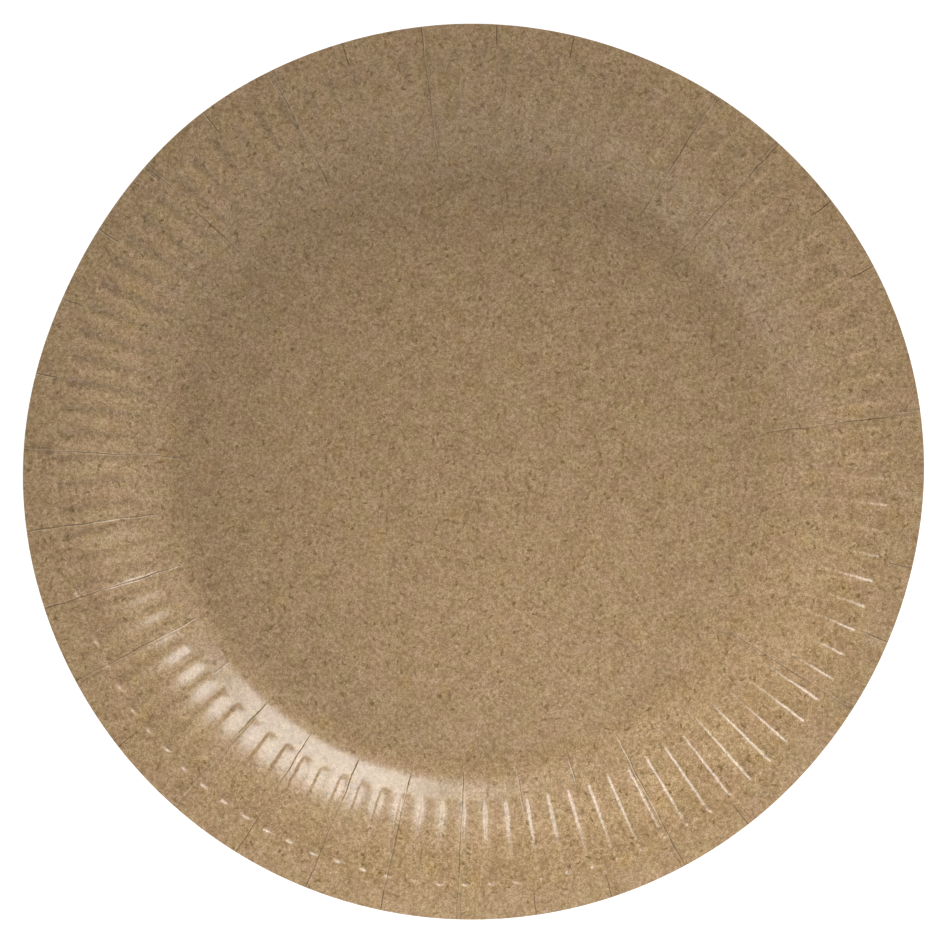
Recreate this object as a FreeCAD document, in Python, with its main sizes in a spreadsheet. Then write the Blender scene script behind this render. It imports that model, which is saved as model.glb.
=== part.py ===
import FreeCAD, Part
import math
import os

import Sketcher

# A round plate pressed from one sheet of brown card: a flat floor, a wall that leans outwards,
# a shoulder that bends over into a flat rim, a hundred short flutes pressed down into the wall
# and shoulder, and thirty-six scored creases where the card gathers as it is pressed.
# Millimetres. The floor's underside lies on the plane z = 0, and the plate's axis is the Z axis.

SIZES = (
    ("floor_diameter", 149.0),
    ("board", 0.45),
    ("corner_run", 6.5),
    ("wall_run", 8.0),
    ("wall_angle", 34.0),
    ("shoulder_run", 20.5),
    ("rim_band", 5.5),
    ("flute_count", 100),
    ("flute_start", 3.5),
    ("flute_stop", 1.5),
    ("flute_end", 1.8),
    ("flute_depth", 0.7),
    ("flute_flank", 1.0),
    ("flute_land", 1.5),
    ("crease_count", 36),
    ("crease_width", 0.6),
    ("crease_depth", 0.15),
    ("crease_gap", 0.4),
)

# A flute narrows at its two ends to this share of its width.
TIP_SHARE = 0.55
# Two rings follow the shoulder's bend, at these shares of the flute's full depth.
BEND_SHARES = (0.27, 0.62)
# A cutting outline and a plumb line reach this far clear of the card.
CLEARANCE = 1.0

# Distances from the axis and heights on the card's upper face, as formulas of the sizes.
FLOOR_EDGE = "sizes.floor_diameter / 2"
WALL_FOOT = FLOOR_EDGE + " + sizes.corner_run"
WALL_HEAD = WALL_FOOT + " + sizes.wall_run"
RIM_START = WALL_HEAD + " + sizes.shoulder_run"
RIM_EDGE = RIM_START + " + sizes.rim_band"
WALL_SLOPE = "tan(sizes.wall_angle * 1 deg)"
BEND_SLOPE = "tan(sizes.wall_angle * 0.5 deg)"
WALL_FOOT_HEIGHT = "sizes.board + sizes.corner_run * " + BEND_SLOPE
RIM_HEIGHT = (
    f"{WALL_FOOT_HEIGHT} + sizes.wall_run * {WALL_SLOPE} + sizes.shoulder_run * {BEND_SLOPE}"
)


def make_sheet(document):
    """Write the driving dimensions into a spreadsheet, one named cell each."""
    sheet = document.addObject("Spreadsheet::Sheet", "sizes")
    for row, (name, value) in enumerate(SIZES, start=1):
        sheet.set(f"A{row}", name)
        sheet.set(f"B{row}", str(value))
        sheet.setAlias(f"B{row}", name)
    document.recompute()
    return sheet


def origin_feature(body, role):
    """The plane or axis of the body's own origin that has this role."""
    return next(item for item in body.Origin.OriginFeatures if item.Role == role)


def sketch_in_radial_plane(body, name):
    """An empty sketch in a plane through the plate's axis, with the axis as its vertical."""
    sketch = body.newObject("Sketcher::SketchObject", name)
    sketch.AttachmentSupport = [(origin_feature(body, "XZ_Plane"), "")]
    sketch.MapMode = "FlatFace"
    return sketch


def bind(sketch, constraint, formula):
    """Add a constraint whose value is a formula of the sizes."""
    index = sketch.addConstraint(constraint)
    sketch.setExpression(f"Constraints[{index}]", formula)


def pin_across(sketch, edge, end, formula):
    """Hold one end of an edge at a distance from the plate's axis."""
    drawn = sketch.getPoint(edge, end).x
    bind(sketch, Sketcher.Constraint("DistanceX", -1, 1, edge, end, drawn), formula)


def pin_height(sketch, edge, end, formula):
    """Hold one end of an edge at a height above the floor's underside."""
    drawn = sketch.getPoint(edge, end).y
    bind(sketch, Sketcher.Constraint("DistanceY", -1, 1, edge, end, drawn), formula)


def draw_section(body, sizes):
    """The radial section of the card's upper face: floor, corner, wall, shoulder and rim."""
    sketch = sketch_in_radial_plane(body, "section")
    angle = math.radians(sizes.wall_angle)
    corner_radius = sizes.corner_run / math.sin(angle)
    shoulder_radius = sizes.shoulder_run / math.sin(angle)
    corner_rise = sizes.corner_run * math.tan(angle / 2)
    shoulder_rise = sizes.shoulder_run * math.tan(angle / 2)
    up = FreeCAD.Vector(0, 1, 0)
    across = FreeCAD.Vector(1, 0, 0)
    start = up * sizes.board
    floor_edge = start + across * (sizes.floor_diameter / 2)
    wall_foot = floor_edge + across * sizes.corner_run + up * corner_rise
    wall_head = wall_foot + across * sizes.wall_run + up * (sizes.wall_run * math.tan(angle))
    rim_start = wall_head + across * sizes.shoulder_run + up * shoulder_rise
    rim_edge = rim_start + across * sizes.rim_band

    def bend(centre, radius, first, last):
        circle = Part.Circle(centre, FreeCAD.Vector(0, 0, 1), radius)
        return sketch.addGeometry(Part.ArcOfCircle(circle, first, last))

    quarter = math.pi / 2
    floor = sketch.addGeometry(Part.LineSegment(start, floor_edge))
    corner = bend(floor_edge + up * corner_radius, corner_radius, -quarter, angle - quarter)
    wall = sketch.addGeometry(Part.LineSegment(wall_foot, wall_head))
    shoulder = bend(rim_start - up * shoulder_radius, shoulder_radius, quarter, quarter + angle)
    rim = sketch.addGeometry(Part.LineSegment(rim_start, rim_edge))
    sketch.addConstraint(Sketcher.Constraint("Tangent", floor, 2, corner, 1))
    sketch.addConstraint(Sketcher.Constraint("Tangent", corner, 2, wall, 1))
    sketch.addConstraint(Sketcher.Constraint("Tangent", wall, 2, shoulder, 2))
    sketch.addConstraint(Sketcher.Constraint("Tangent", shoulder, 1, rim, 1))
    sketch.addConstraint(Sketcher.Constraint("Horizontal", floor))
    sketch.addConstraint(Sketcher.Constraint("Horizontal", rim))
    sketch.addConstraint(Sketcher.Constraint("PointOnObject", floor, 1, -2))
    pin_height(sketch, floor, 1, "sizes.board")
    pin_across(sketch, floor, 2, FLOOR_EDGE)
    pin_across(sketch, wall, 1, WALL_FOOT)
    pin_across(sketch, wall, 2, WALL_HEAD)
    pin_across(sketch, rim, 1, RIM_START)
    pin_across(sketch, rim, 2, RIM_EDGE)
    bind(sketch, Sketcher.Constraint("Angle", wall, angle), "sizes.wall_angle * 1 deg")
    return sketch


def ring_radii(section, sizes):
    """The rings that the card's facets run between, from the floor's edge to the rim's."""
    corners = sorted({round(vertex.X, 6) for vertex in section.Shape.Vertexes})
    _, floor_edge, wall_foot, _, rim_start, rim_edge = corners
    start = wall_foot + sizes.flute_start
    stop = rim_start - sizes.flute_stop
    deep_from = start + sizes.flute_end
    deep_to = stop - sizes.flute_end
    first_bend, second_bend = (deep_from + share * (deep_to - deep_from) for share in BEND_SHARES)
    return {
        "floor_edge": floor_edge,
        "corner": (floor_edge + wall_foot) / 2,
        "wall_foot": wall_foot,
        "start": start,
        "deep_from": deep_from,
        "first_bend": first_bend,
        "second_bend": second_bend,
        "deep_to": deep_to,
        "stop": stop,
        "rim_start": rim_start,
        "rim_edge": rim_edge,
    }


def ring_heights(profile, rings):
    """The height of a radial profile at each ring, where a plumb line crosses it."""
    heights = {}
    top = profile.BoundBox.ZMax + CLEARANCE
    for name, radius in rings.items():
        foot = FreeCAD.Vector(radius, 0, -CLEARANCE)
        plumb = Part.makeLine(foot, FreeCAD.Vector(radius, 0, top))
        crossings = profile.distToShape(plumb)[1]
        heights[name] = crossings[0][0].z
    return heights


def turned(point, angle):
    """The point turned about the plate's axis."""
    cos, sin = math.cos(angle), math.sin(angle)
    return FreeCAD.Vector(point.x * cos - point.y * sin, point.x * sin + point.y * cos, point.z)


def mirrored(point):
    """The point on the other side of the flute's centre line."""
    return FreeCAD.Vector(point.x, -point.y, point.z)


def flute_facets(rings, heights, pitch, land, flank, depth):
    """The outlines of the facets of one flute and its share of the wall, about the X axis."""

    def middle(name):
        return FreeCAD.Vector(rings[name], 0, heights[name])

    def edge(name, share=1.0):
        side = rings[name] * math.tan(pitch / 2) - land / 2
        return FreeCAD.Vector(rings[name], side * share, heights[name])

    def trough(name):
        return edge(name) - FreeCAD.Vector(0, flank, depth)

    def both_sides(*points):
        return [list(points), [mirrored(point) for point in points]]

    def across_land(near, far):
        return [near, far, turned(mirrored(far), pitch), turned(mirrored(near), pitch)]

    facets = []
    for inner, outer in (("floor_edge", "corner"), ("corner", "wall_foot")):
        near, far = middle(inner), middle(outer)
        facets.append([near, far, turned(far, pitch), turned(near, pitch)])
    flute_ends = (("wall_foot", "start", "deep_from"), ("rim_start", "stop", "deep_to"))
    for ring, tip_ring, deep_ring in flute_ends:
        centre, tip = middle(ring), edge(tip_ring, TIP_SHARE)
        facets.append([centre, tip, mirrored(tip)])
        facets.append([centre, tip, turned(mirrored(tip), pitch), turned(centre, pitch)])
        facets.append(across_land(tip, edge(deep_ring)))
        facets.append([tip, trough(deep_ring), mirrored(trough(deep_ring)), mirrored(tip)])
        facets.extend(both_sides(tip, edge(deep_ring), trough(deep_ring)))
    deep_rings = ("deep_from", "first_bend", "second_bend", "deep_to")
    for inner, outer in zip(deep_rings, deep_rings[1:]):
        facets.append(across_land(edge(inner), edge(outer)))
        near, far = trough(inner), trough(outer)
        facets.append([near, far, mirrored(far), mirrored(near)])
        facets.extend(both_sides(edge(inner), edge(outer), trough(outer), trough(inner)))
    return facets


def closed_wire(points):
    """A closed wire of straight edges."""
    return Part.makePolygon(list(points) + [points[0]])


def card_face(profile, rings, land, sizes):
    """One face of the card, upper or lower, as plane facets, with the outline of its rim."""
    count = int(sizes.flute_count)
    pitch = 2 * math.pi / count
    angles = [(index + 0.5) * pitch for index in range(count)]
    heights = ring_heights(profile, rings)

    def circle(name):
        point = FreeCAD.Vector(rings[name], 0, heights[name])
        return [turned(point, angle) for angle in angles]

    facets = flute_facets(rings, heights, pitch, land, sizes.flute_flank, sizes.flute_depth)
    faces = [
        Part.Face(closed_wire([turned(point, angle) for point in facet]))
        for angle in angles
        for facet in facets
    ]
    faces.append(Part.Face(closed_wire(circle("floor_edge"))))
    rim = [closed_wire(circle("rim_edge")), closed_wire(circle("rim_start"))]
    faces.append(Part.makeFace(rim, "Part::FaceMakerBullseye"))
    return faces, circle("rim_edge")


def press_card(section, sizes):
    """The fluted card as one solid, its lower face a board's thickness below its upper face."""
    rings = ring_radii(section, sizes)
    lower_section = section.Shape.Wires[0].makeOffset2D(-sizes.board, openResult=True)
    # The card keeps its thickness round a flank's bend, so its lower face has narrower lands.
    skin = sizes.board * math.tan(math.atan2(sizes.flute_depth, sizes.flute_flank) / 2)
    lower_land = sizes.flute_land - 2 * skin
    upper_faces, upper_edge = card_face(section.Shape, rings, sizes.flute_land, sizes)
    lower_faces, lower_edge = card_face(lower_section, rings, lower_land, sizes)
    edge_faces = [
        Part.Face(closed_wire([upper_edge[i - 1], upper_edge[i], lower_edge[i], lower_edge[i - 1]]))
        for i in range(len(upper_edge))
    ]
    card = Part.Compound(upper_faces + lower_faces + edge_faces)
    card.sewShape()
    return Part.Solid(card.Shells[0])


def add_card(document, body, section, sizes):
    """Make the fluted card the body's base."""
    card = document.addObject("Part::Feature", "fluted_card")
    card.Shape = press_card(section, sizes)
    body.BaseFeature = card
    document.recompute()


def draw_crease(body):
    """The outlines that cut one crease: along the wall below the flutes, and across the rim."""
    sketch = sketch_in_radial_plane(body, "crease_outline")
    wall_near = "sizes.crease_gap"
    wall_far = "(sizes.flute_start - sizes.crease_gap)"
    stretches = (
        (
            (f"{WALL_FOOT} + {wall_near}", f"{WALL_FOOT_HEIGHT} + {wall_near} * {WALL_SLOPE}"),
            (f"{WALL_FOOT} + {wall_far}", f"{WALL_FOOT_HEIGHT} + {wall_far} * {WALL_SLOPE}"),
        ),
        (
            (f"{RIM_START} - sizes.flute_stop + sizes.crease_gap", RIM_HEIGHT),
            (f"{RIM_EDGE} + {CLEARANCE}", RIM_HEIGHT),
        ),
    )
    for number, ((near, near_height), (far, far_height)) in enumerate(stretches):
        # Each outline is drawn as a unit square, apart from the other, and its pins then size it.
        left, right = 3 * number + 1, 3 * number + 2
        corners = (
            (left, 0, near, f"{near_height} - sizes.crease_depth"),
            (right, 0, far, f"{far_height} - sizes.crease_depth"),
            (right, 1, far, f"{far_height} + {CLEARANCE}"),
            (left, 1, near, f"{near_height} + {CLEARANCE}"),
        )
        spots = [FreeCAD.Vector(x, y, 0) for x, y, _, _ in corners]
        lines = [
            sketch.addGeometry(Part.LineSegment(spot, following))
            for spot, following in zip(spots, spots[1:] + spots[:1])
        ]
        for line, following in zip(lines, lines[1:] + lines[:1]):
            sketch.addConstraint(Sketcher.Constraint("Coincident", line, 2, following, 1))
        for line, (_, _, across, height) in zip(lines, corners):
            pin_across(sketch, line, 1, across)
            pin_height(sketch, line, 1, height)
    return sketch


def add_creases(document, body):
    """Score the first crease into the card and repeat it round the plate's axis."""
    outline = draw_crease(body)
    document.recompute()
    crease = body.newObject("PartDesign::Pocket", "crease")
    crease.Profile = outline
    crease.SideType = "Symmetric"
    crease.setExpression("Length", "sizes.crease_width")
    crease.Refine = False
    document.recompute()
    creases = body.newObject("PartDesign::PolarPattern", "creases")
    creases.Originals = [crease]
    creases.Axis = (origin_feature(body, "Z_Axis"), [""])
    creases.Angle = 360
    creases.setExpression("Occurrences", "sizes.crease_count")
    creases.Refine = False
    body.Tip = creases
    document.recompute()
    return creases


def check(document, body):
    """Stop if anything in the document failed or the plate isn't one sound solid."""
    for item in document.Objects:
        if "Invalid" in item.State or "Error" in item.State:
            raise RuntimeError(f"{item.Label} failed: {item.State}")
    shape = body.Shape
    if shape.isNull() or not shape.isValid() or len(shape.Solids) != 1:
        raise RuntimeError("the plate isn't one valid solid")


def main():
    document = FreeCAD.newDocument("paper_plate")
    sizes = make_sheet(document)
    plate = document.addObject("PartDesign::Body", "plate")
    plate.Label = "plate"
    plate.Placement = FreeCAD.Placement()
    section = draw_section(plate, sizes)
    document.recompute()
    add_card(document, plate, section, sizes)
    card_volume = plate.Shape.Volume
    add_creases(document, plate)
    check(document, plate)
    if not plate.Shape.Volume < card_volume:
        raise RuntimeError("the creases cut nothing")
    os.makedirs("parts", exist_ok=True)
    plate.Shape.exportStep(f"parts/{plate.Label}.step")
    box = plate.Shape.BoundBox
    print(f"plate {box.XLength:.2f} x {box.YLength:.2f} x {box.ZLength:.2f} mm")
    print(f"card {plate.Shape.Volume:.0f} mm3")


main()
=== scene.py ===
"""A round plate of brown card: the pressed sheet with its flutes, creases and glaze.

Lengths are in millimetres until a mesh or a lamp is made. Places are first worked out as the
camera sees them, x to the right and y up, and angles run clockwise from up. The whole drawing
is then turned into the frame of the solids.
"""

import math

import bpy
import numpy as np
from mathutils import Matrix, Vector


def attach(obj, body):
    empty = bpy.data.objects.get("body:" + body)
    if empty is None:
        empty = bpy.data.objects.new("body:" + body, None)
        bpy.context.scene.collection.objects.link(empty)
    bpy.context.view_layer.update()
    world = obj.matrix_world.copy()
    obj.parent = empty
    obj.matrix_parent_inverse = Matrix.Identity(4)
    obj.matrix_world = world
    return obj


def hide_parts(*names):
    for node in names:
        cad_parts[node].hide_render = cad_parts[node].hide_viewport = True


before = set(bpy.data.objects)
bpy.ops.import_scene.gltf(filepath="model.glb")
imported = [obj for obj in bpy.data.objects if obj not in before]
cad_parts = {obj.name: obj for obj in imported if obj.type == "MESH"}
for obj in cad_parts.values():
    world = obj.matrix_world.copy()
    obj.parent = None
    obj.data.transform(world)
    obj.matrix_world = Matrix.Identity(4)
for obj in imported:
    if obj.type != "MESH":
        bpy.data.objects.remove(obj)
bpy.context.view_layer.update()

MM = 0.001
# Direction in the solids' frame that is up in the picture
UP_AZIMUTH = 92.5

# The pressed form, as radii about the die's axis
FLOOR_R = 73.6
FOOT_R = 81.5
WALL_TOP_R = 89.0
RIM_R = 109.5
WALL_ANGLE = math.radians(34.2)
# The corner bends little at the floor and most at the wall's foot
CORNER_POWER = 1.4
BOARD = 0.45
SHOULDER = (RIM_R - WALL_TOP_R) / math.sin(WALL_ANGLE)

# The sheet lay a little off the die, and the scoring a little off both
DIE = np.array([0.0, 1.05])
SCORING = np.array([1.2, 0.0])

FLUTES = 100
PITCH = 360.0 / FLUTES
FLUTE_PHASE = 0.8
FLUTE_DEPTH = 0.28
# The share by which a flute's depth has grown at its outer end
FLUTE_DEEPENS = 1.00
# Each flute has a gentle flank on one side and a steep one on the other, in degrees from its
# middle, and it ends in slopes about two radii, in millimetres
GENTLE_FLANK = (-1.70, -0.10)
STEEP_FLANK = (0.50, 1.14)
FLUTE_IN = 85.7
FLUTE_OUT = 106.4
IN_SLOPE = 1.9
OUT_SLOPE = 1.3
# The share of a gentle flank that is an even slope, and not its soft ends
EVEN_SHARE = 0.65
# How much sooner a flute ends for each square degree off its middle, up to a greatest angle; its
# inner end is rounded by a share of that
ROUND_END = 0.30
ROUND_END_REACH = 1.5
ROUND_START_SHARE = 0.5
# How uneven the flutes are: their turn in degrees, depth as a share, and two ends in millimetres
TURN_VARIES = 0.035
DEPTH_VARIES = 0.07
START_VARIES = 0.14
STOP_VARIES = 0.16

CREASES = 36
CREASE_PITCH = 360.0 / CREASES
CREASE_PHASE = 2.5
# Mean turn of the creases in degrees, and how much it varies
CREASE_TURNS = (0.04, 0.11)

# The outline's radius on the sheet and in the picture, in pixels
OUTLINE_R = 114.2
OUTLINE_PIXELS = 448.7
PIXEL = OUTLINE_R / OUTLINE_PIXELS
# The rim's outer band, where every crease shows, and the width of the step to it
BAND_R = 424 * PIXEL
BAND_STEP = 0.6
# The ring from which the rows of points follow the cut edge
BAND_START = 108.9

# How far the cut edge departs from a circle, at a few angles round it
EDGE = ((0, -0.2), (22, -0.4), (45, -0.1), (75, 0.6), (90, 0.55), (105, 0.0), (125, -0.35),
        (150, -0.35), (180, -0.1), (210, 0.0), (240, 0.25), (262, 0.6), (274, 0.45), (285, -0.2),
        (295, -0.8), (305, -0.55), (322, 0.4), (345, -0.2))
EDGE_BLUR = 19

# The radius that each long crease starts at, and the two that each short one lies between
LONG_CREASES = {3: 77.0, 4: 74.0, 8: 75.0, 12: 75.5, 15: 76.0, 18: 76.5, 19: 78.0, 20: 78.5,
                21: 78.5, 22: 79.0, 24: 80.5, 25: 77.0, 26: 81.0, 27: 74.5, 31: 79.0, 33: 81.0,
                35: 79.5}
SHORT_CREASES = {16: (75.5, 84.0), 17: (76.5, 87.0), 23: (79.5, 84.5)}
PLEATS = (3, 4, 8, 12, 15, 18, 22, 24, 27, 31, 33)
FAINT_CREASES = (2, 7, 9, 13)

# Rounds in which a crease's crossing with a row is found
NEARINGS = 4
# Size and wavelength of the two waves that a crease's line follows
DRIFTS = ((0.10, 2.6), (0.07, 1.1))

# Depth of a crease and the strength of the shade painted along it, in the band and for long
# and short ones further in
BAND_DEPTH, BAND_SHADE = 0.16, 0.85
LONG_DEPTH, LONG_SHADE = 0.17, 0.75
SHORT_DEPTH, SHORT_SHADE = 0.11, 0.5
# The lengths over which long and short ones come in, and the wave of a long one's strength
LONG_FADE, SHORT_FADE = 1.2, 1.0
STRENGTH_VARIES, STRENGTH_WAVE = 0.25, 3.1
# The share of a long one's painted shade that is left in the band, and the painted highlight
# line beside it where it is weak
LONG_IN_BAND = 0.5
HIGHLIGHT_TONE, HIGHLIGHT_BELOW = 0.5, 1.4
# What is left of the depth and of the painted shade on faint creases and at pleats
FAINT_SHARES = (0.4, 0.25)
PLEAT_SHARES = (0.3, 0.3)
# Half widths of a crease's groove and of its painted shade line, and place and half width of
# the raised lip and of the painted highlight line beside it
GROOVE = 0.10
SHADE_LINE = 0.085
LIP_SHARE, LIP_AT, LIP = 0.45, 0.24, 0.13
HIGHLIGHT_AT, HIGHLIGHT_LINE = 0.22, 0.09
# A pleat: half its width, how far it sinks, the width of its steps and the strength of the
# shade painted on its lines and at its inner end
PLEAT_HALF = 0.95
PLEAT_SINK = 0.13
PLEAT_STEP = 0.14
PLEAT_LINE = 0.09
PLEAT_SHADES = (0.85, 0.25, 0.5)
PLEAT_END_AT, PLEAT_END = 0.1, 0.2

# The rim's sag and the least depth that the glazed face keeps under the ideal form
SAG, SAG_RUN = 0.10, 14.0
UNDER, UNDER_RUN = 0.05, 6.0
# Beyond this radius the points keep their place when the face is pressed down
STEADY_R = 112.0

seed = np.random.RandomState(20)


def smooth(t):
    """A soft step from 0 to 1 as t goes from 0 to 1."""
    t = np.clip(t, 0.0, 1.0)
    return t * t * (3.0 - 2.0 * t)


def bell(distance, width):
    """A soft peak, 1 high, that falls off over a width."""
    return np.exp(-(distance / width) ** 2)


def eased(t):
    """A step from 0 to 1 that is nearly even, with short soft ends."""
    t = np.clip(t, 0.0, 1.0)
    return EVEN_SHARE * t + (1.0 - EVEN_SHARE) * smooth(t)


def wave(angle, harmonics, draws):
    """A smooth random line round the plate, about 1 high, from the given whole harmonics."""
    total = np.zeros_like(angle)
    for n, (phase, size) in zip(harmonics, draws):
        total += size * np.sin(np.radians(angle) * n + phase)
    return total / math.sqrt(len(harmonics))


def draws_for(harmonics):
    """A phase and a size for each harmonic."""
    return [(seed.uniform(0, 2 * math.pi), seed.uniform(0.6, 1.2)) for _ in harmonics]


FLUTE_TURN = seed.normal(0.0, TURN_VARIES, FLUTES)
FLUTE_SINK = 1.0 + seed.normal(0.0, DEPTH_VARIES, FLUTES)
FLUTE_START = seed.normal(0.0, START_VARIES, FLUTES)
FLUTE_STOP = seed.normal(0.0, STOP_VARIES, FLUTES)
RIPPLES = (3, 5, 8, 11, 17, 23, 36)
RIPPLE_DRAWS = draws_for(RIPPLES)
CREASE_WOBBLE = seed.uniform(0, 2 * math.pi, (CREASES, 2))
CREASE_TURN = seed.normal(*CREASE_TURNS, CREASES)


def profile(r):
    """Height of the upper face, flutes left aside, and its slope, at radius r from the axis."""
    steep = math.tan(WALL_ANGLE)
    run = FOOT_R - FLOOR_R
    bent = np.clip((r - FLOOR_R) / run, 0.0, 1.0)
    shoulder = np.arcsin(np.clip((RIM_R - r) / SHOULDER, 0.0, math.sin(WALL_ANGLE)))
    height = BOARD + steep * run * bent ** (CORNER_POWER + 1.0) / (CORNER_POWER + 1.0)
    height = height + steep * np.clip(r - FOOT_R, 0.0, WALL_TOP_R - FOOT_R)
    height = height + SHOULDER * (np.cos(shoulder) - math.cos(WALL_ANGLE))
    slope = np.where(r < WALL_TOP_R, np.arctan(steep * bent ** CORNER_POWER), shoulder)
    return height, slope


def flute_sink(r, angle):
    """How deep the flutes press the sheet, at radius r and an angle about the die's axis."""
    turns = (angle - FLUTE_PHASE) / PITCH
    which = np.floor(turns + 0.5).astype(int)
    across = (turns - which) * PITCH
    which = which % FLUTES
    across = across - FLUTE_TURN[which]
    across = np.where(across < GENTLE_FLANK[0], across + PITCH, across)
    down = eased((across - GENTLE_FLANK[0]) / (GENTLE_FLANK[1] - GENTLE_FLANK[0]))
    up = smooth((STEEP_FLANK[1] - across) / (STEEP_FLANK[1] - STEEP_FLANK[0]))
    curve = ROUND_END * np.minimum(np.abs(across), ROUND_END_REACH) ** 2
    start = FLUTE_IN + FLUTE_START[which] + ROUND_START_SHARE * curve
    stop = FLUTE_OUT + FLUTE_STOP[which] - curve
    run = smooth((r - start) / IN_SLOPE + 0.5) * smooth((stop - r) / OUT_SLOPE + 0.5)
    deepening = 1.0 + FLUTE_DEEPENS * smooth((r - FLUTE_IN) / (FLUTE_OUT - FLUTE_IN))
    return FLUTE_DEPTH * deepening * FLUTE_SINK[which] * down * up * run


def edge_radius(angle):
    """Distance from the middle of the picture's circle to the cut edge."""
    turned = np.mod(angle, 360.0)
    fine = np.arange(0, 361, 1.0)
    turns, shifts = zip(*EDGE)
    line = np.interp(fine, turns, shifts, period=360.0)
    kernel = np.hanning(EDGE_BLUR)
    kernel = kernel / kernel.sum()
    past = EDGE_BLUR // 2
    line = np.convolve(np.concatenate([line[-past - 1:-1], line, line[1:past + 1]]), kernel,
                       "valid")
    return OUTLINE_R + np.interp(turned, fine, line)


def ring_radius(r, angle):
    """Distance from the middle to the circle of radius r about the die's axis."""
    lean = np.radians(angle)
    return DIE[1] * np.cos(lean) + np.sqrt(r ** 2 - (DIE[1] * np.sin(lean)) ** 2)


def row_radius(row, angle):
    """Distance from the middle to a row of the mesh: a ring of the die, or nearer to the edge."""
    kind, value = row
    if kind == "ring":
        return ring_radius(value, angle)
    inner = ring_radius(BAND_START, angle)
    return inner + (edge_radius(angle) - inner) * value


def crease_angles(row):
    """Where the creases cross a row, as angles about the middle."""
    lean = np.radians(CREASE_PHASE + CREASE_PITCH * np.arange(CREASES) + CREASE_TURN)
    ahead = np.stack([np.sin(lean), np.cos(lean)], 1)
    reach = np.full(CREASES, RIM_R)
    for _ in range(NEARINGS):
        point = SCORING + ahead * reach[:, None]
        angle = np.degrees(np.arctan2(point[:, 0], point[:, 1]))
        reach += row_radius(row, angle) - np.hypot(point[:, 0], point[:, 1])
    angle = np.degrees(np.arctan2(point[:, 0], point[:, 1]))
    drift = 0.0
    for number, (size, length) in enumerate(DRIFTS):
        drift = drift + size * np.sin(CREASE_WOBBLE[:, number] + reach / length)
    near = np.round((angle - CREASE_PHASE) / CREASE_PITCH) - np.arange(CREASES)
    return angle - CREASE_PITCH * near + np.degrees(drift / reach)


def row_angles(row, offsets, between):
    """The angles of a row's points: a few at set distances from each crease, the rest even."""
    creases = crease_angles(row)
    reach = float(np.mean(row_radius(row, creases)))
    angles = []
    for k in range(CREASES):
        here = creases[k]
        there = creases[(k + 1) % CREASES] + (360.0 if k == CREASES - 1 else 0.0)
        own = np.array(offsets[k])
        after = np.array(offsets[(k + 1) % CREASES])
        start = here + math.degrees(own[-1] / reach)
        stop = there + math.degrees(after[0] / reach)
        angles.extend(here + np.degrees(own / reach))
        angles.extend(start + (stop - start) * (np.arange(between) + 1.0) / (between + 1.0))
    return np.array(angles)


CREASE_OFFSETS = (-0.42, -0.26, -0.15, -0.07, 0.0, 0.07, 0.15, 0.26, 0.42)
PLEAT_OFFSETS = (-0.16, -0.06, 0.06, 0.16)
WIDE_OFFSETS = (tuple(x - PLEAT_HALF for x in PLEAT_OFFSETS) + CREASE_OFFSETS
                + tuple(x + PLEAT_HALF for x in PLEAT_OFFSETS))


def offsets_for(wide):
    """Distances of the extra points beside each crease."""
    return [WIDE_OFFSETS if wide and k in PLEATS else CREASE_OFFSETS for k in range(CREASES)]


def crease_strength(k, r, band):
    """Depth of crease k at radius r, with the strengths of its painted shade and highlight lines.
    """
    depth = BAND_DEPTH * band
    groove_shade = BAND_SHADE * band
    highlight = np.zeros_like(band)
    if k in FAINT_CREASES:
        depth = depth * FAINT_SHARES[0]
        groove_shade = groove_shade * FAINT_SHARES[1]
    if k in PLEATS:
        depth = depth * PLEAT_SHARES[0]
        groove_shade = groove_shade * PLEAT_SHARES[1]
    if k in LONG_CREASES:
        run = smooth((r - LONG_CREASES[k]) / LONG_FADE)
        swing = np.sin(CREASE_WOBBLE[k, 1] + r / STRENGTH_WAVE)
        vary = 1.0 - STRENGTH_VARIES + STRENGTH_VARIES * swing
        depth = np.maximum(depth, LONG_DEPTH * run * vary)
        groove_shade = np.maximum(groove_shade, LONG_SHADE * run * vary * (1.0 - (1.0 - LONG_IN_BAND) * band))
        highlight = np.maximum(highlight, HIGHLIGHT_TONE * run * (HIGHLIGHT_BELOW - vary))
    if k in SHORT_CREASES:
        start, stop = SHORT_CREASES[k]
        run = smooth((r - start) / SHORT_FADE) * smooth((stop - r) / SHORT_FADE)
        depth = np.maximum(depth, SHORT_DEPTH * run)
        groove_shade = np.maximum(groove_shade, SHORT_SHADE * run)
    return depth, groove_shade, highlight


def pleat_shape(r, across, side, band):
    """How far a pleat sinks, and the shade painted on its two lines and at its inner end."""
    left = smooth((across + PLEAT_HALF) / PLEAT_STEP + 0.5)
    right = smooth((across - PLEAT_HALF) / PLEAT_STEP + 0.5)
    shaded = PLEAT_HALF * side
    near, far, closing = PLEAT_SHADES
    tint = near * band * bell(across - shaded, PLEAT_LINE)
    tint = tint + far * band * bell(across + shaded, PLEAT_LINE)
    end = bell(r - BAND_R + PLEAT_END_AT, PLEAT_END)
    tint = tint + closing * end * (np.abs(across) < PLEAT_HALF)
    return PLEAT_SINK * (left - right) * band, tint


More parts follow.
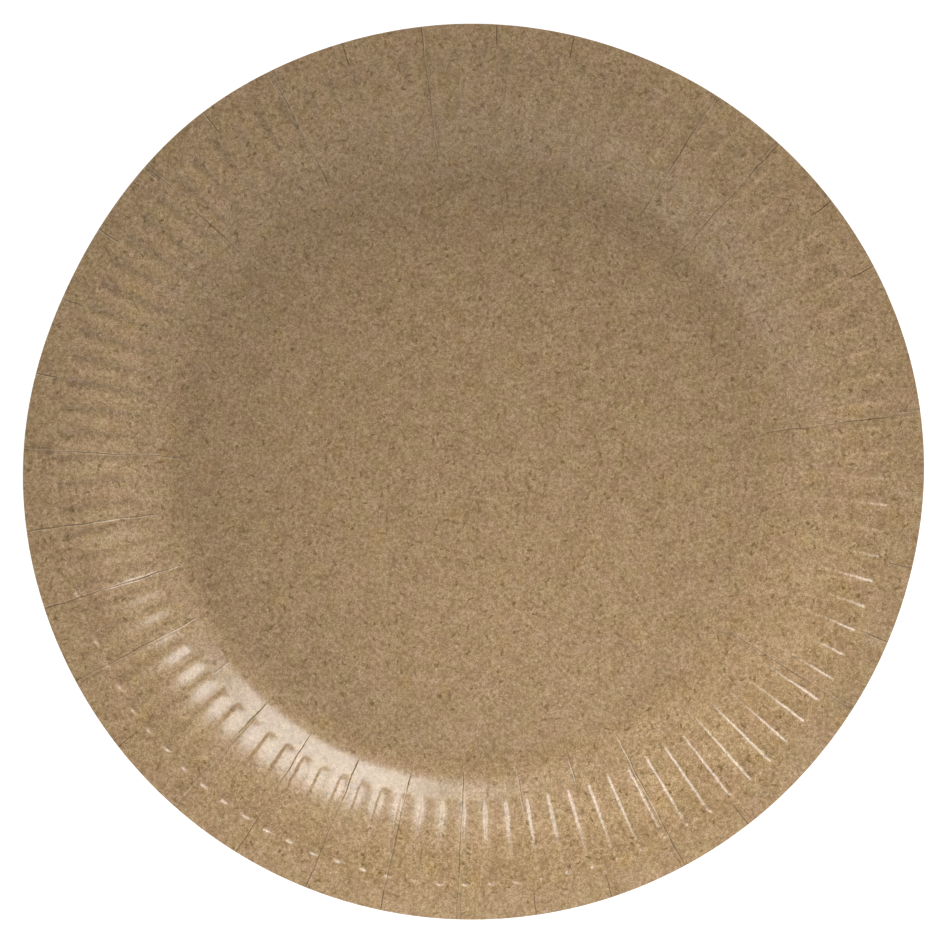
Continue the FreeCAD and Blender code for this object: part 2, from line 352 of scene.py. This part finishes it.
def crease_shape(point_angle, point_radius, row_creases):
    """Height that the creases and pleats add at a row's points, and the shade and highlight
    painted on the folds.
    """
    which = np.round((point_angle - CREASE_PHASE) / CREASE_PITCH).astype(int)
    laps = which // CREASES
    which = which % CREASES
    line = row_creases[which] + 360.0 * laps
    x = np.radians(point_angle - line) * point_radius
    rise = np.zeros_like(x)
    painted_shading = np.zeros_like(x)
    for k in range(CREASES):
        mine = which == k
        if not mine.any():
            continue
        r = point_radius[mine]
        across = x[mine]
        side = 1.0 if k % 2 else -1.0
        band = smooth((r - BAND_R) / BAND_STEP + 0.5)
        depth, groove_shade, highlight = crease_strength(k, r, band)
        rise[mine] += -depth * bell(across, GROOVE)
        rise[mine] += LIP_SHARE * depth * bell(across - LIP_AT * side, LIP)
        # A painted shade line in the groove, and a painted highlight line beside it on the lip's
        # side
        painted_shading[mine] += groove_shade * bell(across, SHADE_LINE)
        painted_shading[mine] -= highlight * bell(across - HIGHLIGHT_AT * side, HIGHLIGHT_LINE)
        if k in PLEATS:
            sink, tint = pleat_shape(r, across, side, band)
            rise[mine] -= sink
            # Painted shade along the pleat's edges and at its inner end
            painted_shading[mine] += tint
    return rise, np.clip(painted_shading, -1.0, 1.0)


def surface_row(row, offsets, between, lower):
    """Points of one row of the upper or lower face, their angles and the painted shade and
    highlight of the folds.
    """
    angle = row_angles(row, offsets, between)
    radius = row_radius(row, angle)
    creases = crease_angles(row)
    lean = np.radians(angle)
    place = np.stack([radius * np.sin(lean), radius * np.cos(lean)], 1)
    from_axis = place - DIE
    r = np.hypot(from_axis[:, 0], from_axis[:, 1])
    die_angle = np.degrees(np.arctan2(from_axis[:, 0], from_axis[:, 1]))
    height, slope = profile(r)
    sink = flute_sink(r, die_angle)
    rise, painted_shading = crease_shape(angle, radius, creases)
    ripple = wave(angle, RIPPLES, RIPPLE_DRAWS)
    sag = SAG * (1.0 + ripple) * smooth((r - FOOT_R) / SAG_RUN)
    sag = np.maximum(sag, 0.0)
    down = sink - rise + UNDER * smooth((r - FOOT_R) / UNDER_RUN)
    down = np.maximum(down, 0.0)
    if lower:
        down = down + BOARD
    outward = from_axis / np.maximum(r, 1e-6)[:, None]
    push = down * np.sin(slope) * np.where(r < STEADY_R, 1.0, 0.0)
    place = place + outward * push[:, None]
    z = height - down * np.cos(slope) - sag
    z = np.maximum(z, 0.0)
    if row[0] == "edge":
        limit = edge_radius(angle)
        far = np.hypot(place[:, 0], place[:, 1])
        place = place * np.minimum(1.0, limit / far)[:, None]
    return np.column_stack([place, z]), angle, painted_shading


class Sheet:
    """Gathers points and faces, with what each one carries."""

    def __init__(self):
        self.points = []
        self.faces = []
        # The painted shade and highlight of the creases, point by point
        self.painted_shadings = []
        self.kinds = []
        self.count = 0

    def ring(self, points, angle, painted_shading):
        """Adds a closed ring of points; gives its first index and its angles."""
        first = self.count
        self.points.append(points)
        self.painted_shadings.append(painted_shading)
        self.count += len(points)
        return first, angle

    def join(self, inner, outer, upward, kind):
        """Fills between two rings, with quads where they have as many points."""
        a, b = len(inner[1]), len(outer[1])
        made = []
        if a == b:
            i = np.arange(a)
            j = (i + 1) % a
            quads = np.stack([inner[0] + i, inner[0] + j, outer[0] + j, outer[0] + i], 1)
            made = quads.tolist()
        else:
            at_inner = np.append(inner[1], inner[1][0] + 360.0)
            at_outer = np.append(outer[1], outer[1][0] + 360.0)
            i = j = 0
            while i < a or j < b:
                if j == b or (i < a and at_inner[i + 1] <= at_outer[j + 1]):
                    made.append([inner[0] + i, inner[0] + (i + 1) % a, outer[0] + j % b])
                    i += 1
                else:
                    made.append([inner[0] + i % a, outer[0] + (j + 1) % b, outer[0] + j])
                    j += 1
        if not upward:
            made = [face[::-1] for face in made]
        self.faces.extend(made)
        self.kinds.extend([kind] * len(made))

    def cap(self, point, ring, upward, kind):
        """Closes a ring on one middle point."""
        middle = self.count
        self.points.append(np.array([point]))
        self.painted_shadings.append(np.zeros(1))
        self.count += 1
        n = len(ring[1])
        for i in range(n):
            face = [middle, ring[0] + (i + 1) % n, ring[0] + i]
            self.faces.append(face if upward else face[::-1])
            self.kinds.append(kind)


def floor_ring(r, count, z):
    """A plain ring of the floor."""
    angle = np.arange(count) * 360.0 / count + CREASE_PHASE
    lean = np.radians(angle)
    points = np.column_stack([r * np.sin(lean), r * np.cos(lean) + DIE[1], np.full(count, z)])
    return points, angle, np.zeros(count)


# The material of each side
FACE, BACK, CUT = 0, 1, 2
# Edges that bend more than this stay sharp
SHARP_ANGLE = math.radians(60.0)
# Radius and number of points of the floor's rings
FLOOR_RINGS = ((24, 72), (48, 144), (64, 288))
# Radii of the rows beyond the floor; the rim's rows are shares of the way to the cut edge
CORNER_ROWS = (73.4, 74.3, 75.2, 76.1, 77.0, 77.9, 78.8, 79.7, 80.6, 81.4, 82.2)
FLUTE_ROWS = (82.9, 83.4, 83.8, 84.2, 84.6, 85.0, 85.5, 86.1, 87.0, 88.3, 90.0, 92.0, 94.0,
              96.0, 98.0, 100.0, 101.8, 103.2, 104.3, 105.0, 105.4, 105.7, 106.0, 106.3, 106.6,
              106.9, 107.3, 107.8)
BACK_FLUTE_ROWS = (83.0, 83.8, 84.6, 85.4, 86.6, 89.0, 92.5, 96.0, 99.5, 102.5, 104.4, 105.6,
                   106.6, 107.6)
BAND_ROWS = (0.0, 0.2, 0.45, 0.7, 0.88, 0.97, 1.0)
# Points between two creases where there are flutes and elsewhere, on the upper and lower face
FINE, PLAIN = 54, 8
BACK_FINE, BACK_PLAIN = 20, 6


def build_sheet():
    """The upper face, the cut edge and the lower face of the pressed card."""
    sheet = Sheet()
    narrow = offsets_for(False)
    wide = offsets_for(True)
    rings = {}
    for lower in (False, True):
        kind = BACK if lower else FACE
        z = 0.0 if lower else BOARD
        fine = BACK_FINE if lower else FINE
        plain = BACK_PLAIN if lower else PLAIN
        flute_rows = BACK_FLUTE_ROWS if lower else FLUTE_ROWS
        corner_rows = CORNER_ROWS[::2] if lower else CORNER_ROWS
        chain = [sheet.ring(*floor_ring(r, n, z)) for r, n in FLOOR_RINGS]
        sheet.cap((DIE[0], DIE[1], z), chain[0], not lower, kind)
        for r in corner_rows:
            chain.append(sheet.ring(*surface_row(("ring", r), narrow, plain, lower)))
        for r in flute_rows:
            chain.append(sheet.ring(*surface_row(("ring", r), narrow, fine, lower)))
        band = BAND_ROWS[::2] if lower else BAND_ROWS
        for share in band:
            chain.append(sheet.ring(*surface_row(("edge", share), wide, plain, lower)))
        for inner, outer in zip(chain, chain[1:]):
            sheet.join(inner, outer, not lower, kind)
        rings[lower] = chain[-1]
    sheet.join(rings[False], rings[True], True, CUT)
    return sheet


def into_frame(points):
    """Turns what the camera sees into the solids' frame, in metres."""
    lean = math.radians(UP_AZIMUTH)
    up = np.array([math.cos(lean), math.sin(lean)])
    right = np.array([math.sin(lean), -math.cos(lean)])
    flat = points[:, :1] * right + points[:, 1:2] * up
    return np.column_stack([flat, points[:, 2]]) * MM


def make_plate():
    """The mesh object of the plate."""
    sheet = build_sheet()
    points = into_frame(np.vstack(sheet.points))
    mesh = bpy.data.meshes.new("plate_sheet")
    mesh.from_pydata(points.tolist(), [], sheet.faces)
    mesh.update()
    mesh.polygons.foreach_set("use_smooth", np.ones(len(mesh.polygons), bool))
    mesh.polygons.foreach_set("material_index", np.array(sheet.kinds, np.int32))
    # The painted shade and highlight of the creases, carried by each point to the material
    fold_shading = mesh.attributes.new("fold_shading", "FLOAT", "POINT")
    fold_shading.data.foreach_set("value", np.concatenate(sheet.painted_shadings).astype(np.float32))
    mesh.set_sharp_from_angle(angle=SHARP_ANGLE)
    plate = bpy.data.objects.new("plate_sheet", mesh)
    bpy.context.scene.collection.objects.link(plate)
    return plate


# Materials

def add_node(tree, kind, inputs=None, **settings):
    """A node with its settings, and each input joined to a socket or set to a value."""
    made = tree.nodes.new(kind)
    for name, value in settings.items():
        setattr(made, name, value)
    for key, value in (inputs or {}).items():
        if isinstance(value, bpy.types.NodeSocket):
            tree.links.new(value, made.inputs[key])
        else:
            made.inputs[key].default_value = value
    return made


def calc(tree, operation, first, second=0.0, third=0.0):
    """The result of one sum or comparison."""
    made = add_node(tree, "ShaderNodeMath", {0: first, 1: second, 2: third}, operation=operation)
    return made.outputs[0]


def soft(tree, value, low, high, start=0.0, stop=1.0):
    """Maps low..high softly to start..stop."""
    made = add_node(tree, "ShaderNodeMapRange", {"Value": value, "From Min": low, "From Max": high,
                                                 "To Min": start, "To Max": stop},
                    interpolation_type="SMOOTHSTEP")
    return made.outputs[0]


def linear(tree, value, low, high, start=0.0, stop=1.0):
    """Maps low..high evenly to start..stop."""
    made = add_node(tree, "ShaderNodeMapRange", {"Value": value, "From Min": low, "From Max": high,
                                                 "To Min": start, "To Max": stop})
    return made.outputs[0]


def spread(tree, where, size, shift=(0.0, 0.0), turn=0.0, stretch=1.0):
    """The flat coordinate, in units of size, moved, turned and stretched."""
    made = add_node(tree, "ShaderNodeMapping",
                    {"Vector": where, "Location": (shift[0] * size, shift[1] * size, 0.0),
                     "Rotation": (0.0, 0.0, turn), "Scale": (size * stretch, size, 1.0)},
                    vector_type="TEXTURE")
    return made.outputs[0]


def cloud(tree, where, detail, rough):
    """Soft noise about 0.5."""
    made = add_node(tree, "ShaderNodeTexNoise", {"Vector": where, "Scale": 1.0, "Detail": detail,
                                                 "Roughness": rough},
                    noise_dimensions="2D")
    return made.outputs[0]


def mix(tree, share, first, second, blend="MIX"):
    """One colour laid over another."""
    made = add_node(tree, "ShaderNodeMix", {0: share, 6: first, 7: second},
                    data_type="RGBA", blend_type=blend)
    return made.outputs[2]


def hairs(tree, where, cell, length, width, share, shift):
    """Short bent fibres, at most one in a cell, each lying its own way."""
    moved = spread(tree, where, cell, shift)
    cells = add_node(tree, "ShaderNodeTexVoronoi", {"Vector": moved, "Scale": 1.0},
                     voronoi_dimensions="2D", feature="F1")
    chance = add_node(tree, "ShaderNodeSeparateColor", {0: cells.outputs["Color"]})
    away = add_node(tree, "ShaderNodeVectorMath", {0: moved, 1: cells.outputs["Position"]},
                    operation="SUBTRACT")
    angle = calc(tree, "MULTIPLY", chance.outputs[0], 2 * math.pi)
    turned = add_node(tree, "ShaderNodeVectorRotate", {"Vector": away.outputs[0], "Angle": angle},
                      rotation_type="Z_AXIS")
    part = add_node(tree, "ShaderNodeSeparateXYZ", {0: turned.outputs[0]})
    bow = calc(tree, "MULTIPLY_ADD", chance.outputs[1], 2.0, -1.0)
    bent = calc(tree, "MULTIPLY", calc(tree, "MULTIPLY", part.outputs[0], part.outputs[0]), bow)
    off = calc(tree, "ABSOLUTE", calc(tree, "ADD", part.outputs[1], bent))
    run = calc(tree, "ABSOLUTE", part.outputs[0])
    half = length / cell / 2.0
    along = soft(tree, run, half * 0.6, half, 1.0, 0.0)
    across = soft(tree, off, 0.0, width / cell, 1.0, 0.0)
    there = calc(tree, "LESS_THAN", chance.outputs[2], share)
    return calc(tree, "MULTIPLY", calc(tree, "MULTIPLY", along, across), there)


def specks(tree, where, cell, radius, share, shift):
    """Small round dots, at most one in a cell."""
    moved = spread(tree, where, cell, shift)
    cells = add_node(tree, "ShaderNodeTexVoronoi", {"Vector": moved, "Scale": 1.0},
                     voronoi_dimensions="2D", feature="F1")
    chance = add_node(tree, "ShaderNodeSeparateColor", {0: cells.outputs["Color"]})
    big = calc(tree, "MULTIPLY_ADD", chance.outputs[0], 0.9, 0.5)
    near = calc(tree, "DIVIDE", cells.outputs["Distance"], big)
    dot = soft(tree, near, radius / cell * 0.35, radius / cell, 1.0, 0.0)
    there = calc(tree, "LESS_THAN", chance.outputs[2], share)
    return calc(tree, "MULTIPLY", dot, there)


# The card's two ground colours, its stains and its fibres
OLIVE = (0.277, 0.180, 0.077)
ROSY = (0.283, 0.175, 0.084)
OCHRE = (0.290, 0.178, 0.055, 1.0)
DARK_FIBRE = (0.115, 0.062, 0.002, 1.0)
PALE_FIBRE = (0.52, 0.39, 0.25, 1.0)
# Painted shade in a crease's groove, and a painted highlight on its lip
FOLD_SHADE = (0.065, 0.040, 0.020, 1.0)
FOLD_HIGHLIGHT = (0.60, 0.48, 0.33, 1.0)
# How strongly unevenness shows in red, green and blue, so that dark spots are deeper in colour
DEEPENING = (0.75, 0.92, 1.32)
# How strongly the painted shade and highlight of the creases show
FOLD_SHADING_STRENGTH = 0.80
COAT = 1.0
COAT_ROUGH = 0.25
COAT_INDEX = 1.5
BASE_ROUGH = 0.50
ROUGH_VARIES = 0.06
BASE_SHINE = 0.20
# Strength and height in metres of the card's and the glaze's unevenness, and the glaze's size
CARD_BUMP = (0.35, 0.00006)
GLAZE_BUMP = (0.25, 0.00004)
GLAZE_SIZE = 2.2
GRAIN_SHARE = 0.6

# Millimetres over which the two ground colours change
PATCHES = 6.5
# How closely the sway follows on that makes fibres, dots and stains ragged, and how far it goes
SWAY_SCALE, SWAY = 1.3, 0.9
# Cell, radius, share and strength of the stains
STAINS = (11.0, 2.4, 0.45, 0.40)
# Size in millimetres, turn, stretch, detail and strength of each layer of unevenness
MOTTLES = (
    (0.33, 0.0, 1.0, 2.0, 0.32),
    (0.26, 0.2, 4.0, 1.0, 0.18),
    (0.26, 1.0, 4.0, 1.0, 0.18),
    (0.26, 1.8, 4.0, 1.0, 0.18),
    (0.26, 2.6, 4.0, 1.0, 0.18),
    (1.10, 0.0, 1.0, 2.0, 0.32),
    (3.4, 0.9, 1.0, 2.0, 0.17),
    (9.0, 0.3, 1.0, 1.0, 0.08),
)
# Cell, length, width, share and strength of the dark and the pale fibres
DARK_HAIRS = ((3.6, 1.7, 0.38, 0.26, 1.0), (1.7, 1.1, 0.32, 0.42, 0.55),
              (6.5, 4.0, 0.28, 0.26, 0.60))
PALE_HAIRS = ((3.1, 2.0, 0.30, 0.34, 0.30), (1.7, 1.0, 0.34, 0.32, 0.26))
# Cell, radius, share and strength of the dark and the pale dots
DARK_DOTS = ((3.6, 0.38, 0.26, 0.95), (19.0, 0.62, 0.30, 1.0), (1.4, 0.30, 0.30, 0.60))
PALE_DOTS = ((2.4, 0.40, 0.28, 0.34),)


def card(name, coated, tint, shift):
    """Brown card of mixed fibres, glazed or plain."""
    material = bpy.data.materials.new(name)
    material.use_nodes = True
    tree = material.node_tree
    tree.nodes.clear()
    place = add_node(tree, "ShaderNodeTexCoord")
    scaled = add_node(tree, "ShaderNodeVectorMath", {0: place.outputs["Object"], "Scale": 1000.0},
                      operation="SCALE")
    flat = add_node(tree, "ShaderNodeVectorMath", {0: scaled.outputs[0], 1: (1.0, 1.0, 0.0)},
                    operation="MULTIPLY").outputs[0]
    sway = add_node(tree, "ShaderNodeTexNoise", {"Vector": flat, "Scale": SWAY_SCALE,
                                               "Detail": 1.0},
                    noise_dimensions="2D")
    ragged = add_node(tree, "ShaderNodeVectorMath", {0: sway.outputs["Color"],
                                                     1: (SWAY, SWAY, 0.0), 2: flat},
                      operation="MULTIPLY_ADD").outputs[0]
    patches = cloud(tree, spread(tree, flat, PATCHES, shift), 2.0, 0.5)
    olive, rosy = (tuple(c * t for c, t in zip(colour, tint)) + (1.0,) for colour in (OLIVE, ROSY))
    base = mix(tree, linear(tree, patches, 0.35, 0.65), olive, rosy)
    stain = specks(tree, ragged, *STAINS[:-1], (shift[0] + 1.0, 8.3))
    base = mix(tree, calc(tree, "MULTIPLY", stain, STAINS[-1]), base, OCHRE)
    level = 1.0
    layers = []
    for number, (size, turn, stretch, detail, strength) in enumerate(MOTTLES):
        moved = spread(tree, flat, size, (shift[0] + number, shift[1] + 1.7 * number), turn,
                       stretch)
        layers.append(cloud(tree, moved, detail, 0.6))
        uneven = linear(tree, layers[-1], 0.25, 0.75, 1.0 - strength, 1.0 + strength)
        level = calc(tree, "MULTIPLY", level, uneven)
    grain, mottle = layers[0], layers[5]
    parts = {i: calc(tree, "POWER", level, power) for i, power in enumerate(DEEPENING)}
    shade = add_node(tree, "ShaderNodeCombineColor", parts).outputs[0]
    base = mix(tree, 1.0, base, shade, "MULTIPLY")
    count = 0
    for make, kinds, colour in ((hairs, PALE_HAIRS, PALE_FIBRE), (specks, PALE_DOTS, PALE_FIBRE),
                                (hairs, DARK_HAIRS, DARK_FIBRE), (specks, DARK_DOTS, DARK_FIBRE)):
        for kind in kinds:
            count += 1
            marks = make(tree, ragged, *kind[:-1], (shift[0] + 3.1 * count, shift[1] + 2.3))
            base = mix(tree, calc(tree, "MULTIPLY", marks, kind[-1]), base, colour)
    # Painted shade along the creases, and a painted highlight where the value is below zero
    fold_shading = add_node(tree, "ShaderNodeAttribute", attribute_name="fold_shading")
    painted_fold_shading = calc(tree, "MULTIPLY", fold_shading.outputs["Fac"], FOLD_SHADING_STRENGTH)
    painted_fold_highlight = calc(tree, "MULTIPLY", painted_fold_shading, -1.0)
    base = mix(tree, calc(tree, "MAXIMUM", painted_fold_shading, 0.0), base, FOLD_SHADE)
    base = mix(tree, calc(tree, "MAXIMUM", painted_fold_highlight, 0.0), base, FOLD_HIGHLIGHT)
    rough = linear(tree, mottle, 0.3, 0.7, BASE_ROUGH - ROUGH_VARIES, BASE_ROUGH + ROUGH_VARIES)
    height = calc(tree, "ADD", mottle, calc(tree, "MULTIPLY", grain, GRAIN_SHARE))
    ground = add_node(tree, "ShaderNodeBump", {"Strength": CARD_BUMP[0], "Distance": CARD_BUMP[1],
                                               "Height": height})
    values = {"Base Color": base, "Roughness": rough, "Normal": ground.outputs[0],
              "Specular IOR Level": BASE_SHINE}
    if coated:
        height = cloud(tree, spread(tree, flat, GLAZE_SIZE, (shift[0], 0.4)), 3.0, 0.5)
        glaze = add_node(tree, "ShaderNodeBump", {"Strength": GLAZE_BUMP[0],
                                                  "Distance": GLAZE_BUMP[1], "Height": height})
        values.update({"Coat Weight": COAT, "Coat Roughness": COAT_ROUGH, "Coat IOR": COAT_INDEX,
                       "Coat Normal": glaze.outputs[0]})
    shader = add_node(tree, "ShaderNodeBsdfPrincipled", values)
    out = add_node(tree, "ShaderNodeOutputMaterial", {"Surface": shader.outputs[0]})
    out.is_active_output = True
    return material


# Light, floor and camera

def facing(azimuth, elevation):
    """Direction in the solids' frame for an angle clockwise from the picture's up."""
    lean = math.radians(UP_AZIMUTH - azimuth)
    lift = math.radians(elevation)
    return Vector((math.cos(lean) * math.cos(lift), math.sin(lean) * math.cos(lift),
                   math.sin(lift)))


# Soft boxes: azimuth, elevation, distance, width and height in metres, radiance, mirrored or not
LAMPS = {
    "window": (29.0, 29.0, 1.30, 0.80, 0.40, 8.8, True),
    "window_left": (8.0, 16.0, 1.30, 0.55, 0.23, 13.0, True),
    "window_low": (32.0, 7.0, 1.30, 0.55, 0.18, 12.0, True),
    "card_side": (210.0, 20.0, 0.26, 0.40, 0.14, 1.9, False),
    "card_front": (240.0, 10.0, 1.30, 0.75, 0.30, 7.5, False),
}

# The beam from above: azimuth, elevation, distance, the place aimed at as an azimuth and a
# reach in metres, the beam's half width there, the lamp's radius and its power in watts
BEAM_FROM = (172.0, 80.0, 1.0)
BEAM_AT = (150.0, 0.10)
BEAM_HALF = 0.17
BEAM_RADIUS = 0.15
BEAM_WATTS = 43.0


def place_lamp(lamp, spot, target, mirrored):
    """Hangs a lamp at a spot, aimed at a target, out of the camera's sight."""
    holder = bpy.data.objects.new(lamp.name, lamp)
    bpy.context.scene.collection.objects.link(holder)
    holder.location = spot
    holder.rotation_mode = "QUATERNION"
    holder.rotation_quaternion = (spot - target).to_track_quat("Z", "Y")
    holder.visible_camera = False
    holder.visible_glossy = mirrored


def add_soft_box(name, azimuth, elevation, distance, width, height, radiance, mirrored):
    """A soft box that faces the plate."""
    lamp = bpy.data.lights.new(name, "AREA")
    lamp.shape = "RECTANGLE"
    lamp.size = width
    lamp.size_y = height
    lamp.energy = radiance * math.pi * width * height
    place_lamp(lamp, facing(azimuth, elevation) * distance, Vector((0.0, 0.0, 0.0)), mirrored)


def add_beam():
    """A wide soft beam from above, strongest on the lower part of the picture."""
    lamp = bpy.data.lights.new("beam", "SPOT")
    lamp.energy = BEAM_WATTS
    lamp.shadow_soft_size = BEAM_RADIUS
    lamp.spot_size = 2.0 * math.atan(BEAM_HALF / BEAM_FROM[2])
    lamp.spot_blend = 1.0
    target = facing(BEAM_AT[0], 0.0) * BEAM_AT[1]
    place_lamp(lamp, target + facing(*BEAM_FROM[:2]) * BEAM_FROM[2], target, False)


def grey(value):
    """A plain grey."""
    return (value, value, value, 1.0)


def seen_rays(tree):
    """1 for what the camera sees, mirrored and through glass too, and 0 for other light."""
    path = add_node(tree, "ShaderNodeLightPath")
    seen = calc(tree, "MAXIMUM", path.outputs["Is Camera Ray"], path.outputs["Is Glossy Ray"])
    return calc(tree, "MAXIMUM", seen, path.outputs["Is Transmission Ray"])


# Even light by height, as a share of the level, from the horizon up
SKY = ((0.0, 1.0), (0.10, 1.0), (0.14, 0.20), (0.27, 0.20), (0.33, 0.0))
SKY_LEVEL = 7.2


def make_world():
    """Low even light from all round, in front of a white backdrop."""
    world = bpy.data.worlds.new("studio")
    world.use_nodes = True
    tree = world.node_tree
    tree.nodes.clear()
    place = add_node(tree, "ShaderNodeTexCoord")
    part = add_node(tree, "ShaderNodeSeparateXYZ", {0: place.outputs["Generated"]})
    ramp = add_node(tree, "ShaderNodeValToRGB", {0: part.outputs[2]})
    stops = ramp.color_ramp.elements
    while len(stops) < len(SKY):
        stops.new(0.5)
    for stop, (at, value) in zip(stops, SKY):
        stop.position = at
        stop.color = grey(value)
    light = add_node(tree, "ShaderNodeVectorMath", {0: ramp.outputs[0], "Scale": SKY_LEVEL},
                     operation="SCALE")
    colour = mix(tree, seen_rays(tree), light.outputs[0], grey(1.0))
    glow = add_node(tree, "ShaderNodeBackground", {"Color": colour, "Strength": 1.0})
    add_node(tree, "ShaderNodeOutputWorld", {"Surface": glow.outputs[0]})
    bpy.context.scene.world = world


# The table top: half its width, how far it lies under the plate, how bright it is where it lights
# the plate, and its brightness in the picture in two parts, of which the first keeps the shadow
TABLE_HALF = 2.5
TABLE_DROP = 0.0002
TABLE_GREY = 0.86
TABLE_SHADED, TABLE_GLOW = 0.30, 0.90


def make_floor():
    """A white table top that goes white in the picture and keeps a faint shadow."""
    half = TABLE_HALF
    mesh = bpy.data.meshes.new("table_top")
    mesh.from_pydata([(-half, -half, 0), (half, -half, 0), (half, half, 0), (-half, half, 0)],
                     [], [(0, 1, 2, 3)])
    table = bpy.data.objects.new("table_top", mesh)
    table.location.z = -TABLE_DROP
    bpy.context.scene.collection.objects.link(table)
    material = bpy.data.materials.new("table_white")
    material.use_nodes = True
    tree = material.node_tree
    tree.nodes.clear()
    plain = add_node(tree, "ShaderNodeBsdfDiffuse", {"Color": grey(TABLE_GREY)})
    faint = add_node(tree, "ShaderNodeBsdfDiffuse", {"Color": grey(TABLE_SHADED)})
    glow = add_node(tree, "ShaderNodeEmission", {"Color": grey(TABLE_GLOW), "Strength": 1.0})
    lit = add_node(tree, "ShaderNodeAddShader", {0: faint.outputs[0], 1: glow.outputs[0]})
    both = add_node(tree, "ShaderNodeMixShader", {0: seen_rays(tree), 1: plain.outputs[0],
                                                  2: lit.outputs[0]})
    add_node(tree, "ShaderNodeOutputMaterial", {"Surface": both.outputs[0]})
    mesh.materials.append(material)


# The camera: half the picture's width and the camera's place, right and up, in pixels, the rim's
# height and the height above it in millimetres, and the width of the film
PICTURE_HALF = 472.5
CAMERA_PLACE = (-0.96, -1.05)
RIM_HEIGHT = 14.1
ABOVE_RIM = 2000.0
FILM = 36.0


def make_camera():
    """Looks straight down; the rim's circle is as large as in the picture."""
    lens_data = bpy.data.cameras.new("above")
    lens_data.sensor_width = FILM
    lens_data.lens = FILM / 2.0 * ABOVE_RIM / (PICTURE_HALF * PIXEL)
    lens_data.clip_end = 10.0
    camera = bpy.data.objects.new("above", lens_data)
    bpy.context.scene.collection.objects.link(camera)
    right, up = (place * PIXEL for place in CAMERA_PLACE)
    spot = into_frame(np.array([[right, up, RIM_HEIGHT + ABOVE_RIM]]))[0]
    camera.location = Vector(spot)
    camera.rotation_mode = "XYZ"
    camera.rotation_euler = (0.0, 0.0, math.radians(UP_AZIMUTH - 90.0))
    bpy.context.scene.camera = camera


plate = make_plate()
for skin in (card("card_face", True, (1.0, 1.0, 1.0), (0.0, 0.0)),
             card("card_back", False, (1.08, 1.06, 1.02), (31.0, 17.0)),
             card("card_cut", False, (1.15, 1.12, 1.05), (57.0, 5.0))):
    plate.data.materials.append(skin)
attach(plate, "root")
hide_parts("plate")

make_world()
make_floor()
make_camera()
for name, setting in LAMPS.items():
    add_soft_box(name, *setting)
add_beam()

view = bpy.context.scene.view_settings
view.view_transform = "Standard"

bpy.context.view_layer.update()
